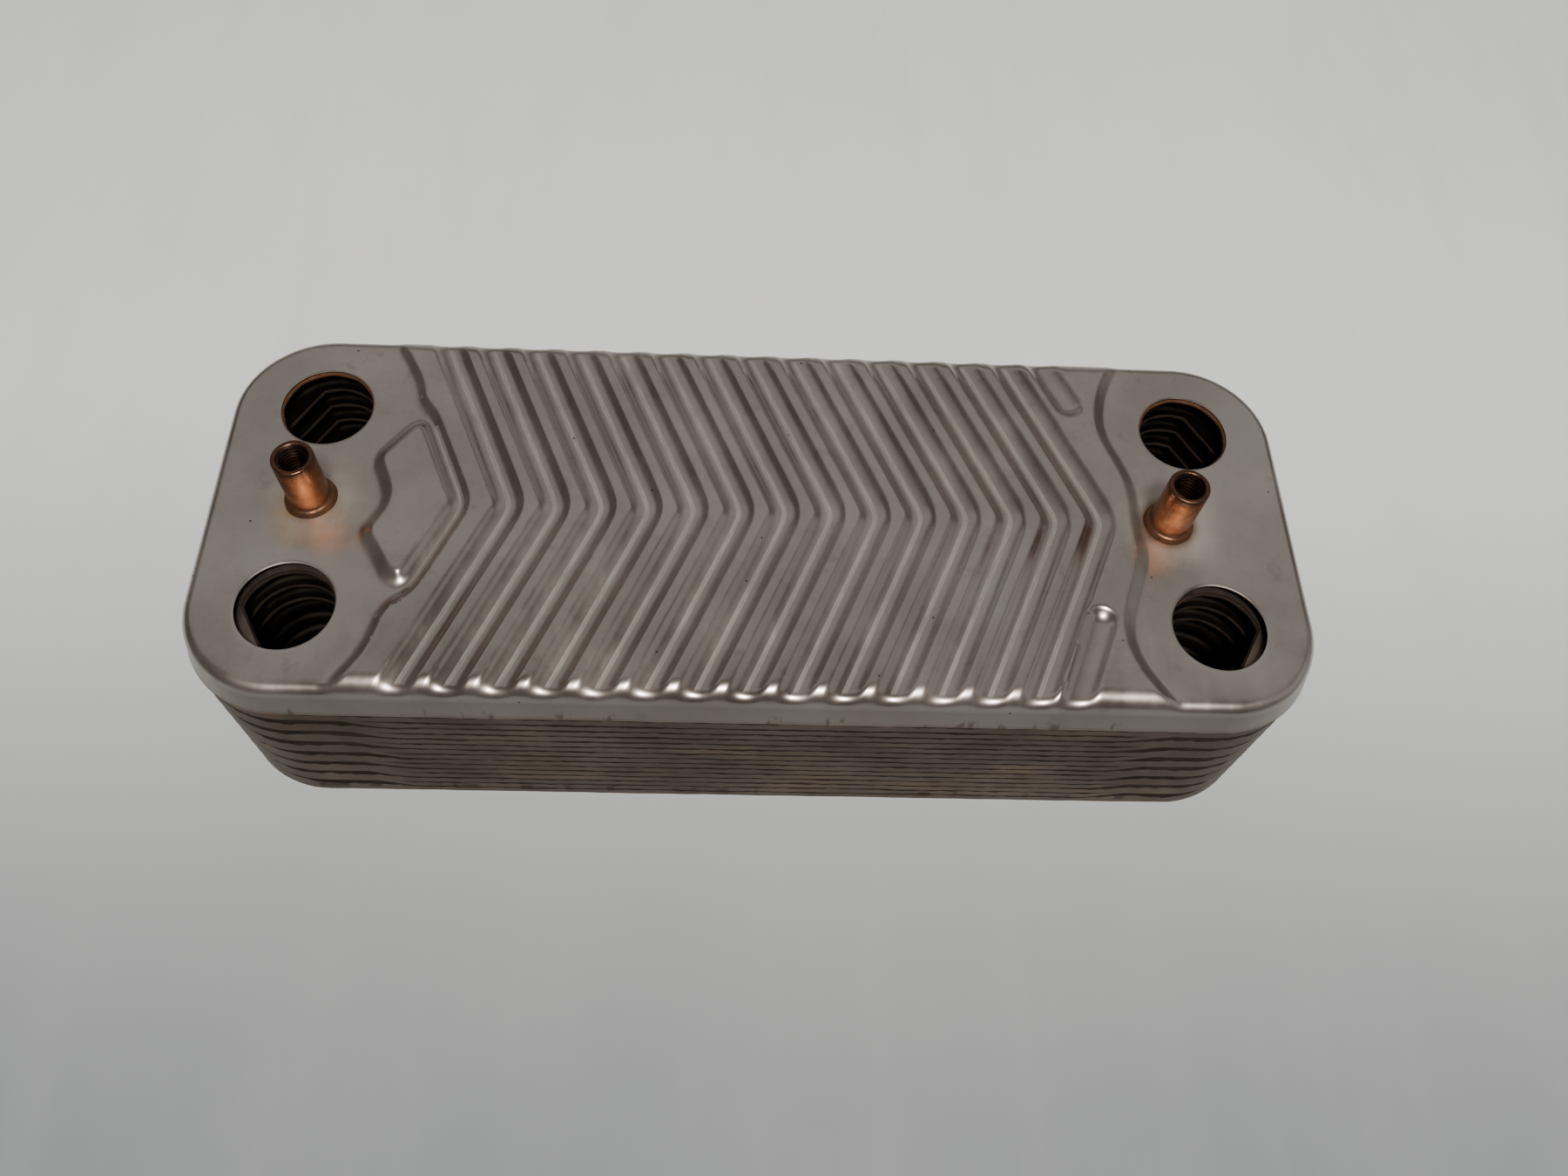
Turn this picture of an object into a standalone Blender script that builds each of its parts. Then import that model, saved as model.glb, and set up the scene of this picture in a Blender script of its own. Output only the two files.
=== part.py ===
"""Brazed plate heat exchanger for a combination boiler, after the 154 x 40 mm port pattern.

Sixteen pressed stainless plates nest in each other, every second one turned by half a turn, so
that their chevrons cross and leave a channel between each pair. Copper brazing seals the nested
rims and the port lands. Two copper-coated threaded sleeves stand on the front plate.

Frame: metres, +Z out of the front plate, +X along the plates, and the origin on the surface that
the exchanger lies on, under the centre of the port pattern. Near means -Y and far means +Y.
"""

import math

import bmesh
import bpy
from mathutils import Vector
from mathutils.geometry import delaunay_2d_cdt

MM = 0.001

# Driving dimensions, in millimetres.
PLATE_COUNT = 16
PLATE_PITCH = 2.24
SHEET = 0.35
COVER_SHEET = 0.6
PRESS_DEPTH = 1.6
RIM_DROP = 6.15
RIM_SLOPE = 0.22
PORT_PLANE = 40.0
HALF_LENGTH = 93.0
HALF_WIDTH = 35.0
CORNER_RADIUS = 16.0
COVER_OVERHANG = 0.2
COVER_BEND = 2.0
CHANNEL_BEND = 1.5

PORT_X = 77.0
PORT_Y = 20.0
PORT_RADIUS = 8.0
PORT_CHORD = 6.4
PORT_CHORD_ANGLE = math.radians(30)

GROOVE_COUNT = 15
GROOVE_FIRST = -51.0
GROOVE_PITCH = 7.857
CHEVRON_SLOPE = 0.435
GROOVE_HALF_FLAT = 0.4
GROOVE_FLANK = 2.6
FLANK = 1.8
CHANNEL_FIELD_EDGE = 31.5
LAND_STEP = 1.2

SLEEVE_HEIGHT = 11.7
SLEEVE_RADIUS = 3.5
SLEEVE_BORE_RADIUS = 2.2
SLEEVE_PLACES = {"left": (-76.5, 0.9), "right": (71.3, 0.35)}
COLLAR_RADIUS = 4.2
COLLAR_HEIGHT = 1.0
COVER_CORNER_STEPS = 8
CHANNEL_CORNER_STEPS = 4

JOINT_GAP = 0.3
BEAD_GAP = 0.12
BEAD_HEIGHT = 0.45
RING_INSET = 0.4
RING_WIDTH = 0.3
RING_HEIGHT = 0.8
FAR_RING_JOINTS = (0, 2, 4, 6)
NEAR_RING_JOINTS = (1, 3, 5)

# Outlines of the pressed steps on the front plate, halfway up their slopes, near side first.
FIELD_LEFT = [
    (-69.0, -37.0),
    (-63.0, -27.5),
    (-61.2, -20.0),
    (-57.3, -17.5),
    (-49.7, 0.0),
    (-57.8, 18.5),
    (-60.5, 21.5),
    (-61.2, 25.5),
    (-67.5, 37.0),
]
FIELD_RIGHT = [
    (68.5, -37.0),
    (62.0, -27.0),
    (61.0, -20.0),
    (66.0, -6.5),
    (65.2, -1.0),
    (65.5, 8.0),
    (61.0, 20.0),
    (62.5, 28.5),
    (67.0, 37.0),
]
PAD = [
    (-59.0, -15.0),
    (-52.3, 0.0),
    (-59.3, 16.3),
    (-61.0, 16.0),
    (-66.3, 8.8),
    (-63.5, 2.0),
    (-63.7, -1.0),
    (-66.3, -6.0),
    (-61.3, -14.2),
]
SHORT_GROOVES = [((49.5, -38.0), (56.8, -20.0)), ((50.0, 38.0), (56.0, 24.8))]

CHANNEL_LEFT = [(-65.4, -36.0), (-49.7, 0.0), (-65.4, 36.0)]
CHANNEL_RIGHT = [(66.5, -36.0), (61.5, -22.0), (66.0, 0.0), (61.5, 22.0), (66.5, 36.0)]
CHANNEL_FLANK = 2.0


# --- plane geometry -----------------------------------------------------------------------------


def ramp(value):
    return min(1.0, max(0.0, value))


def sloped(distance, width=FLANK):
    """0 below a pressed step, 1 above it, halfway where the distance is 0."""
    return ramp(0.5 + distance / width)


def segment_distance(point, start, end):
    along = end - start
    share = ramp((point - start).dot(along) / along.length_squared)
    return (point - start - along * share).length


def side_distance(point, line):
    """Distance to an open outline, positive on its +X side, for an outline that runs along Y."""
    points = [Vector(p) for p in line]
    pairs = list(zip(points, points[1:]))
    nearest = min(segment_distance(point, a, b) for a, b in pairs)
    for a, b in pairs:
        if a.y <= point.y < b.y:
            x = a.x + (b.x - a.x) * (point.y - a.y) / (b.y - a.y)
            return nearest if point.x > x else -nearest
    return nearest


def inside(point, outline):
    """Whether a closed outline holds a point."""
    crossings = 0
    for a, b in zip(outline, outline[1:] + outline[:1]):
        if (a[1] > point[1]) != (b[1] > point[1]):
            x = a[0] + (b[0] - a[0]) * (point[1] - a[1]) / (b[1] - a[1])
            crossings += x > point[0]
    return crossings % 2 == 1


def closed_distance(point, outline):
    """Distance to a closed outline, positive inside it."""
    points = [Vector(p) for p in outline]
    nearest = min(segment_distance(point, a, b) for a, b in zip(points, points[1:] + points[:1]))
    return nearest if inside(point, outline) else -nearest


def shifted(line, distance, closed=False):
    """The outline moved sideways by a distance, to the right of its direction."""
    points = [Vector(p) for p in line]
    count = len(points)
    moved = []
    for i, point in enumerate(points):
        before = points[(i - 1) % count] if closed or i > 0 else point
        after = points[(i + 1) % count] if closed or i < count - 1 else point
        normals = []
        for along in (point - before, after - point):
            if along.length > 0:
                normals.append(Vector((along.y, -along.x)).normalized())
        middle = sum(normals, Vector((0, 0))).normalized()
        moved.append(point + middle * (distance / max(0.5, middle.dot(normals[0]))))
    return [tuple(p) for p in moved]


def rounded_rectangle(grow, corner_segments):
    """The plate's outline, moved outwards by grow."""
    radius = CORNER_RADIUS + grow
    points = []
    for quarter, (sx, sy) in enumerate(((1, 1), (-1, 1), (-1, -1), (1, -1))):
        x = sx * (HALF_LENGTH - CORNER_RADIUS)
        y = sy * (HALF_WIDTH - CORNER_RADIUS)
        for step in range(corner_segments + 1):
            angle = math.radians(90 * (quarter + step / corner_segments))
            points.append((x + radius * math.cos(angle), y + radius * math.sin(angle)))
    return points


def outward(point):
    """The direction out of the rounded outline at a point near it."""
    x = max(-(HALF_LENGTH - CORNER_RADIUS), min(HALF_LENGTH - CORNER_RADIUS, point[0]))
    y = max(-(HALF_WIDTH - CORNER_RADIUS), min(HALF_WIDTH - CORNER_RADIUS, point[1]))
    return (Vector(point) - Vector((x, y))).normalized()


def port_outline(side_x, side_y, cut, inset=0.0, segments=12):
    """A port's edge: a circle, with its corner side cut straight on the low lands."""
    radius = PORT_RADIUS - inset
    chord = PORT_CHORD - inset
    facing = math.atan2(side_y * math.sin(PORT_CHORD_ANGLE), side_x * math.cos(PORT_CHORD_ANGLE))
    half = math.acos(chord / radius) if cut else 0.0
    sweep = 2 * (math.pi - half)
    count = segments + 1 if cut else segments
    points = []
    for step in range(count):
        angle = facing + half + sweep * step / segments
        x = side_x * PORT_X + radius * math.cos(angle)
        y = side_y * PORT_Y + radius * math.sin(angle)
        points.append((x, y))
    return points


# --- heights of the pressed sheets, as a share of the press depth -------------------------------


def chevron_place(point):
    return point.x + CHEVRON_SLOPE * abs(point.y)


def cover_height(x, y):
    point = Vector((x, y))
    field = min(
        sloped(side_distance(point, FIELD_LEFT)), sloped(-side_distance(point, FIELD_RIGHT))
    )
    for i in range(1, GROOVE_COUNT):
        off = abs(chevron_place(point) - GROOVE_FIRST - GROOVE_PITCH * i)
        field = min(field, ramp((off - GROOVE_HALF_FLAT) / GROOVE_FLANK))
    for start, end in SHORT_GROOVES:
        off = segment_distance(point, Vector(start), Vector(end))
        field = min(field, ramp((off - GROOVE_HALF_FLAT) / GROOVE_FLANK))
    return max(field, sloped(closed_distance(point, PAD)))


def channel_height(x, y):
    """Grooves over the middle, low port lands on the far side and high ones on the near side."""
    point = Vector((x, y))
    field = min(
        sloped(side_distance(point, CHANNEL_LEFT), CHANNEL_FLANK),
        sloped(-side_distance(point, CHANNEL_RIGHT), CHANNEL_FLANK),
    )
    turns = (chevron_place(point) - GROOVE_FIRST) / GROOVE_PITCH
    wave = 1 - 2 * abs(turns - math.floor(turns) - 0.5)
    rim = HALF_WIDTH - CHANNEL_BEND
    edge = ramp((rim - abs(y)) / (rim - CHANNEL_FIELD_EDGE))
    port = sloped(-y, 2 * LAND_STEP)
    return field * min(wave, edge) + (1 - field) * port


# --- sheet metal --------------------------------------------------------------------------------


def cover_lines():
    lines = []
    for line in (FIELD_LEFT, FIELD_RIGHT):
        lines += [shifted(line, FLANK / 2), shifted(line, -FLANK / 2)]
    for side in (-FLANK / 2, FLANK / 2):
        ring = shifted(PAD, side, closed=True)
        lines.append(ring + ring[:1])
    for i in range(1, GROOVE_COUNT):
        place = GROOVE_FIRST + GROOVE_PITCH * i
        for off in (GROOVE_HALF_FLAT, GROOVE_HALF_FLAT + GROOVE_FLANK):
            lines += [chevron_line(place - off, 37.0), chevron_line(place + off, 37.0)]
    for start, end in SHORT_GROOVES:
        for off in (GROOVE_HALF_FLAT, GROOVE_HALF_FLAT + GROOVE_FLANK):
            lines.append(capsule_line(start, end, off))
    return lines


def channel_lines():
    lines = []
    for line in (CHANNEL_LEFT, CHANNEL_RIGHT):
        lines += [shifted(line, CHANNEL_FLANK / 2), shifted(line, -CHANNEL_FLANK / 2)]
    for half_turn in range(2, 2 * GROOVE_COUNT):
        place = GROOVE_FIRST + GROOVE_PITCH * half_turn / 2
        lines.append(chevron_line(place, CHANNEL_FIELD_EDGE))
    for y in (-LAND_STEP, LAND_STEP):
        lines += [[(-95.0, y), (-51.5, y)], [(67.5, y), (95.0, y)]]
    return lines


def chevron_line(place, half_length):
    reach = place - CHEVRON_SLOPE * half_length
    return [(reach, -half_length), (place, 0.0), (reach, half_length)]


def capsule_line(start, end, off):
    """Around the inner end of a short groove, at a distance from its middle line."""
    start = Vector(start)
    end = Vector(end)
    along = (end - start).normalized()
    across = Vector((along.y, -along.x)) * off
    tip = end + along * off
    corner = 0.7
    points = [start + across, end + across, end + (along * off + across) * corner, tip]
    points += [end + (along * off - across) * corner, end - across, start - across]
    return [tuple(p) for p in points]


def triangulated(ring, holes, lines):
    """Points and triangles of a sheet whose steps follow the given lines."""
    points = []
    edges = []

    def add(line, closed):
        first = len(points)
        points.extend(Vector(p) for p in line)
        edges.extend((i, i + 1) for i in range(first, len(points) - 1))
        if closed:
            edges.append((len(points) - 1, first))

    add(ring, True)
    for hole in holes:
        add(hole, True)
    for line in lines:
        add(line, False)
    verts, _, faces, *_ = delaunay_2d_cdt(points, edges, [], 0, 1e-4)
    kept = []
    for face in faces:
        middle = sum((verts[i] for i in face), Vector((0, 0))) / len(face)
        if inside(middle, ring) and not any(inside(middle, hole) for hole in holes):
            kept.append(tuple(face))
    return [tuple(v) for v in verts], kept


def boundary_edges(faces):
    """Directed edges that only one face uses."""
    used = set()
    for face in faces:
        for a, b in zip(face, face[1:] + face[:1]):
            used.add((a, b))
    return [edge for edge in used if (edge[1], edge[0]) not in used]


def loops_of(edges):
    following = dict(edges)
    loops = []
    while following:
        start = min(following)
        loop = [start]
        at = following.pop(start)
        while at != start:
            loop.append(at)
            at = following.pop(at)
        loops.append(loop)
    return loops


def pressed_plate(name, ring, holes, lines, height, sheet, bend, overhang, level_rim):
    """One pressed plate with its turned-down rim. Its low level is at the object's origin.

    With level_rim the rim's edge is straight, and otherwise it rises with the plate's level.
    """
    flat, faces = triangulated(ring, holes, lines)
    used = sorted({i for face in faces for i in face})
    number = {old: new for new, old in enumerate(used)}
    faces = [tuple(number[i] for i in face) for face in faces]
    outer = []
    inner = []
    for old in used:
        x, y = flat[old]
        z = PRESS_DEPTH * height(x, y)
        outer.append((x, y, z))
        inner.append((x, y, z - sheet))

    loops = loops_of(boundary_edges(faces))
    rim_loop = max(loops, key=lambda loop: max(outer[i][0] for i in loop))
    wall = sheet * math.sqrt(1 + RIM_SLOPE**2)
    previous = rim_loop
    for lower in (False, True):
        row = []
        for i in rim_loop:
            x, y, z = outer[i]
            direction = outward((x, y))
            base = Vector((x, y)) + direction * bend
            foot = -RIM_DROP if level_rim else z - RIM_DROP
            depth = foot if lower else z - bend
            out = base - direction * (RIM_SLOPE * depth)
            back = out - direction * wall
            row.append(len(outer))
            outer.append((out.x, out.y, depth))
            inner.append((back.x, back.y, depth))
        for k in range(len(row)):
            j = (k + 1) % len(row)
            faces.append((previous[j], previous[k], row[k], row[j]))
        previous = row
    return mesh_of_sheet(name, outer, inner, faces)


def mesh_of_sheet(name, outer, inner, faces):
    """A closed solid between an outer and an inner skin with the same faces."""
    count = len(outer)
    solid = list(faces)
    solid += [tuple(i + count for i in reversed(face)) for face in faces]
    for a, b in boundary_edges(faces):
        solid.append((b, a, a + count, b + count))
    mesh = bpy.data.meshes.new(name)
    points = [(x * MM, y * MM, z * MM) for x, y, z in outer + inner]
    mesh.from_pydata(points, [], solid)
    mesh.validate()
    return mesh


def cover_mesh():
    ring = rounded_rectangle(COVER_OVERHANG - COVER_BEND, COVER_CORNER_STEPS)
    holes = [port_outline(sx, sy, False, segments=24) for sx in (-1, 1) for sy in (-1, 1)]
    return pressed_plate(
        "front_cover_plate",
        ring,
        holes,
        cover_lines(),
        cover_height,
        COVER_SHEET,
        COVER_BEND,
        COVER_OVERHANG,
        True,
    )


def channel_mesh(name, ported):
    ring = rounded_rectangle(-CHANNEL_BEND, CHANNEL_CORNER_STEPS)
    holes = []
    if ported:
        for side_x in (-1, 1):
            holes.append(port_outline(side_x, -1, False))
            holes.append(port_outline(side_x, 1, True))
    return pressed_plate(
        name,
        ring,
        holes,
        channel_lines(),
        channel_height,
        SHEET,
        CHANNEL_BEND,
        0.0,
        False,
    )


# --- brazing ------------------------------------------------------------------------------------


def swept_ring(name, sections):
    """A closed bead through cross-sections that each list the same number of points."""
    count = len(sections)
    size = len(sections[0])
    points = [tuple(c * MM for c in p) for section in sections for p in section]
    faces = []
    for i in range(count):
        j = (i + 1) % count
        for k in range(size):
            m = (k + 1) % size
            faces.append((i * size + k, j * size + k, j * size + m, i * size + m))
    mesh = bpy.data.meshes.new(name)
    mesh.from_pydata(points, [], faces)
    return mesh


def rim_level(x, y, turned):
    """Height of a channel plate's rim above its low level, for a plate that may be turned."""
    if turned:
        x, y = -x, -y
    start = outward((x, y))
    inset = Vector((x, y)) - start * CHANNEL_BEND
    return PRESS_DEPTH * channel_height(inset.x, inset.y)


def rim_steps():
    """Where the rim changes level along the long edges of a channel plate that isn't turned."""
    y = HALF_WIDTH - CHANNEL_BEND
    places = []
    for line in (CHANNEL_LEFT, CHANNEL_RIGHT):
        for side in (-CHANNEL_FLANK / 2, CHANNEL_FLANK / 2):
            *_, before, after = shifted(line, side)
            share = (y - before[1]) / (after[1] - before[1])
            places.append(before[0] + (after[0] - before[0]) * share)
    return places


def edge_bead_mesh(name, cover_above, upper_turned):
    """The copper line under one plate's rim, against the next plate's rim.

    Heights are from the upper plate's low level.
    """
    fall = PLATE_PITCH + (COVER_SHEET - SHEET if cover_above else 0.0)
    overhang = COVER_OVERHANG if cover_above else 0.0
    rounded = rounded_rectangle(0.0, CHANNEL_CORNER_STEPS)
    stops = [(x, side * HALF_WIDTH) for x in rim_steps() for side in (-1, 1)]
    stops += [(side * HALF_LENGTH, y) for side in (-1, 1) for y in (-LAND_STEP, LAND_STEP)]
    ring = sorted(rounded + stops, key=lambda p: math.atan2(p[1] * HALF_LENGTH, p[0] * HALF_WIDTH))
    sections = []
    for x, y in ring:
        direction = outward((x, y))
        level = 0.0 if cover_above else rim_level(x, y, upper_turned)
        top = level - RIM_DROP - BEAD_GAP
        foot = top - BEAD_HEIGHT
        back_top = -RIM_SLOPE * (top + fall) + BEAD_GAP
        back_foot = -RIM_SLOPE * (foot + fall) + BEAD_GAP
        front = overhang + RIM_SLOPE * (RIM_DROP - level)
        section = []
        for out, z in ((back_top, top), (front, top), (back_foot, foot)):
            place = Vector((x, y)) + direction * out
            section.append((place.x, place.y, z))
        sections.append(section)
    return swept_ring(name, sections)


def port_ring_mesh(name, side_x, side_y, cut):
    """The copper fillet round a port where two plates meet, from the upper plate's low level."""
    near_wall = port_outline(side_x, side_y, cut, RING_INSET)
    inner = port_outline(side_x, side_y, cut, RING_INSET + RING_WIDTH)
    sections = []
    for wall, free in zip(near_wall, inner):
        sections.append([(*wall, 0.0), (*free, -RING_HEIGHT / 2), (*wall, -RING_HEIGHT)])
    return swept_ring(name, sections)


# --- sleeves ------------------------------------------------------------------------------------


def turned_mesh(name, profile, segments):
    """A closed ring turned from a profile of (radius, height) points."""
    sections = []
    for step in range(segments):
        angle = 2 * math.pi * step / segments
        sections.append([(r * math.cos(angle), r * math.sin(angle), z) for r, z in profile])
    return swept_ring(name, sections)


def sleeve_mesh():
    r = SLEEVE_RADIUS
    bore = SLEEVE_BORE_RADIUS
    top = SLEEVE_HEIGHT
    profile = [
        (bore, JOINT_GAP),
        (r, JOINT_GAP),
        (r, top - 0.15),
        (r - 0.15, top),
        (bore + 0.4, top),
        (bore, top - 0.4),
    ]
    return turned_mesh("mounting_sleeve", profile, 24)


def collar_mesh():
    r = SLEEVE_RADIUS + BEAD_GAP
    profile = [
        (r, JOINT_GAP),
        (COLLAR_RADIUS, JOINT_GAP),
        (COLLAR_RADIUS, JOINT_GAP + 0.4),
        (r + 0.2, JOINT_GAP + COLLAR_HEIGHT),
        (r, JOINT_GAP + COLLAR_HEIGHT),
    ]
    return turned_mesh("sleeve_braze", profile, 24)


# --- materials and placing ----------------------------------------------------------------------


def metal(name, color, roughness):
    material = bpy.data.materials.new(name)
    material.use_nodes = True
    shader = material.node_tree.nodes["Principled BSDF"]
    shader.inputs["Base Color"].default_value = (*color, 1.0)
    shader.inputs["Metallic"].default_value = 1.0
    shader.inputs["Roughness"].default_value = roughness
    return material


def face_out(mesh):
    bm = bmesh.new()
    bm.from_mesh(mesh)
    bmesh.ops.recalc_face_normals(bm, faces=bm.faces)
    if bm.calc_volume(signed=True) < 0:
        bmesh.ops.reverse_faces(bm, faces=bm.faces)
    bm.to_mesh(mesh)
    bm.free()
    mesh.shade_smooth()
    mesh.set_sharp_from_angle(angle=math.radians(35))


def place(name, mesh, material, location, parent, turned=False):
    if not mesh.materials:
        face_out(mesh)
        mesh.materials.append(material)
    obj = bpy.data.objects.new(name, mesh)
    obj.location = [c * MM for c in location]
    obj.rotation_euler.z = math.pi if turned else 0.0
    obj.parent = parent
    bpy.context.scene.collection.objects.link(obj)
    return obj


def low_level(plate):
    """Height of a plate's low level; plate 0 is the front cover."""
    if plate == 0:
        return PORT_PLANE
    return PORT_PLANE - (COVER_SHEET - SHEET) - PLATE_PITCH * plate


def add_plates(root, steel):
    place("front_cover_plate", cover_mesh(), steel, (0, 0, low_level(0)), root)
    channel = channel_mesh("channel_plate", True)
    for plate in range(1, PLATE_COUNT - 1):
        turned = plate % 2 == 1
        place(f"channel_plate_{plate:02d}", channel, steel, (0, 0, low_level(plate)), root, turned)
    last = PLATE_COUNT - 1
    blank = channel_mesh("back_end_plate", False)
    place("back_end_plate", blank, steel, (0, 0, low_level(last)), root, last % 2 == 1)


def add_edge_beads(root, copper):
    under_cover = edge_bead_mesh("edge_braze_cover", True, False)
    between = edge_bead_mesh("edge_braze", False, False)
    for joint in range(PLATE_COUNT - 1):
        mesh = under_cover if joint == 0 else between
        level = (0, 0, low_level(joint))
        place(f"edge_braze_{joint + 1:02d}", mesh, copper, level, root, joint % 2 == 1)


def add_port_rings(root, copper):
    sides = {"left": -1, "right": 1}
    for side, side_x in sides.items():
        for row, side_y, joints in (("far", 1, FAR_RING_JOINTS), ("near", -1, NEAR_RING_JOINTS)):
            for joint in joints:
                name = f"port_braze_{row}_{side}_{joint + 1:02d}"
                mesh = port_ring_mesh(name, side_x, side_y, joint > 0)
                level = low_level(joint) - (COVER_SHEET - SHEET if joint == 0 else 0.0)
                place(name, mesh, copper, (0, 0, level), root)


def add_sleeves(root, copper):
    sleeve = sleeve_mesh()
    collar = collar_mesh()
    for side, (x, y) in SLEEVE_PLACES.items():
        place(f"mounting_sleeve_{side}", sleeve, copper, (x, y, PORT_PLANE), root)
        place(f"sleeve_braze_{side}", collar, copper, (x, y, PORT_PLANE), root)


def main():
    for obj in list(bpy.data.objects):
        bpy.data.objects.remove(obj, do_unlink=True)
    root = bpy.data.objects.new("plate_heat_exchanger", None)
    bpy.context.scene.collection.objects.link(root)
    steel = metal("stainless_sheet", (0.52, 0.50, 0.48), 0.36)
    copper = metal("copper_coat", (0.62, 0.30, 0.15), 0.4)
    braze = metal("braze_copper", (0.33, 0.19, 0.12), 0.55)
    add_plates(root, steel)
    add_edge_beads(root, braze)
    add_port_rings(root, braze)
    add_sleeves(root, copper)


main()
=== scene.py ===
"""Looks of a brazed plate heat exchanger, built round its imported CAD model.

Every pressed plate, copper bead and sleeve gets a finer mesh in the place of its CAD node, with
the rounded chevrons, the scalloped rim and the threaded bores that the CAD leaves plain.
Lengths in the geometry below are in millimetres; to_metres turns them into the frame's metres.
"""

import math

import bpy
import numpy as np
from mathutils.geometry import delaunay_2d_cdt
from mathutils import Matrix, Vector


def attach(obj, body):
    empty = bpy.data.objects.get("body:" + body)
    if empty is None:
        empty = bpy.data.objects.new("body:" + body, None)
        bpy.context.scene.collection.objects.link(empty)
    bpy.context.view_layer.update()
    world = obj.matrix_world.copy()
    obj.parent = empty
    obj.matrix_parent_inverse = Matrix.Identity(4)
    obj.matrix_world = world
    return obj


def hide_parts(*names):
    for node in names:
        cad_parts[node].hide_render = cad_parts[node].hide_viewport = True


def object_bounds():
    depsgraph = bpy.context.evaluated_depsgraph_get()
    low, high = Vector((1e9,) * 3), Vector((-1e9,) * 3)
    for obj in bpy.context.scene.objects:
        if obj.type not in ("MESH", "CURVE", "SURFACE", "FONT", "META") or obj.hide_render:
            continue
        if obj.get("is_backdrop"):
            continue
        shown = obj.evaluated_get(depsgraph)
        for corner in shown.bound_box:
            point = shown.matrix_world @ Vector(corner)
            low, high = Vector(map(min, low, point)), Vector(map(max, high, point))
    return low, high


# Driving dimensions of the CAD model, in millimetres.
PLATE_COUNT = 16
PLATE_PITCH = 2.24
SHEET = 0.35
COVER_SHEET = 0.6
PRESS_DEPTH = 1.6
RIM_DROP = 6.15
RIM_SLOPE = 0.22
PORT_PLANE = 40.0
HALF_LENGTH = 93.0
HALF_WIDTH = 35.0
CORNER_RADIUS = 16.0
COVER_OVERHANG = 0.2

PORT_X = 77.0
PORT_Y = 20.0
PORT_RADIUS = 8.0
PORT_CHORD = 6.4
PORT_CHORD_ANGLE = math.radians(30)

GROOVE_COUNT = 15
GROOVE_FIRST = -51.0
GROOVE_PITCH = 7.857
CHEVRON_SLOPE = 0.435
GROOVE_HALF_FLAT = 0.42
APEX_ROUNDING = 1.4

SLEEVE_HEIGHT = 11.7
SLEEVE_RADIUS = 3.5
SLEEVE_BORE_RADIUS = 2.2
SLEEVE_PLACES = {"left": (-76.5, 0.9), "right": (71.3, 0.35)}
COLLAR_RADIUS = 4.2
JOINT_GAP = 0.3
FAR_RING_JOINTS = (0, 2, 4, 6)
NEAR_RING_JOINTS = (1, 3, 5)
CORNERS = [(side_x, side_y) for side_x in (-1, 1) for side_y in (-1, 1)]

# How the rims bend.
RIM_ANGLE = math.atan(1 / RIM_SLOPE)
COVER_INSET = 3.7
COVER_BEND = 2.0
CREST_BEND = 1.15
CHANNEL_INSET = 1.6
CHANNEL_BEND = 1.35

# Each groove is a round trough with a flat strip along its bottom, and the crests are narrow.
STRIP_ANGLE = math.radians(6)
CREST_ANGLE = math.radians(50)
TROUGH_RADIUS = 3.25
CREST_RADIUS = 1.27
TROUGH_REACH = TROUGH_RADIUS * (math.sin(CREST_ANGLE) - math.sin(STRIP_ANGLE))
CREST_REACH = TROUGH_REACH + CREST_RADIUS * math.sin(CREST_ANGLE)
PLATEAU_FALL = 0.25
HALF_RISE = 1.82

# Outlines of the pressed steps on the front plate, halfway up their slopes, near side first.
FIELD_LEFT = [
    (-69.0, -37.0), (-63.0, -27.5), (-61.2, -20.0), (-57.3, -17.5), (-49.7, 0.0),
    (-57.8, 18.5), (-60.5, 21.5), (-61.2, 25.5), (-67.5, 37.0),
]
FIELD_RIGHT = [
    (68.5, -37.0), (62.0, -27.0), (61.0, -20.0), (66.0, -6.5), (65.2, -1.0),
    (65.5, 8.0), (61.0, 20.0), (62.5, 28.5), (67.0, 37.0),
]
PAD = [
    (-59.0, -15.0), (-52.3, 0.0), (-59.3, 16.3), (-61.0, 16.0), (-66.3, 8.8),
    (-63.5, 2.0), (-63.7, -1.0), (-66.3, -6.0), (-61.3, -14.2),
]
SHORT_GROOVES = [((49.5, -38.0), (56.8, -20.0)), ((50.0, 38.0), (56.0, 24.8))]
CHANNEL_LEFT = [(-65.4, -36.0), (-49.7, 0.0), (-65.4, 36.0)]
CHANNEL_RIGHT = [(66.5, -36.0), (61.5, -22.0), (66.0, 0.0), (61.5, 22.0), (66.5, 36.0)]
CHANNEL_FLANK = 2.2
CHANNEL_FIELD_EDGE = 31.5
# Extra width, in millimetres, over which a channel plate's rim rises along the plate.
RIM_BLEND = 7.0
# Where the channel plates' port lands get a plain grid of points.
LAND_START = 62

# Seeds of the small unevenness, each added to the piece's own number.
COVER_SEED = 7
CHANNEL_SEED = 100
BEAD_SEED = 300
RING_SEED = 700
COLLAR_SEED = 900

# Heights in metres on the cover for the painted shade on its turned-down side, and the end of the
# bright copper in the ports, where their oxide and painted shade begin.
SKIRT_TOP = 0.0392
SKIRT_FOOT = 0.0376
PORT_SHADE_TOP = 0.0376


# --- plane geometry ---


def smooth(value):
    """A smooth step from 0 to 1."""
    t = np.clip(value, 0, 1)
    return t * t * (3 - 2 * t)


def soft_min(a, b, blend):
    """The smaller of two heights, rounded where they cross."""
    share = np.clip(0.5 + 0.5 * (b - a) / blend, 0, 1)
    return b * (1 - share) + a * share - blend * share * (1 - share)


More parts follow.
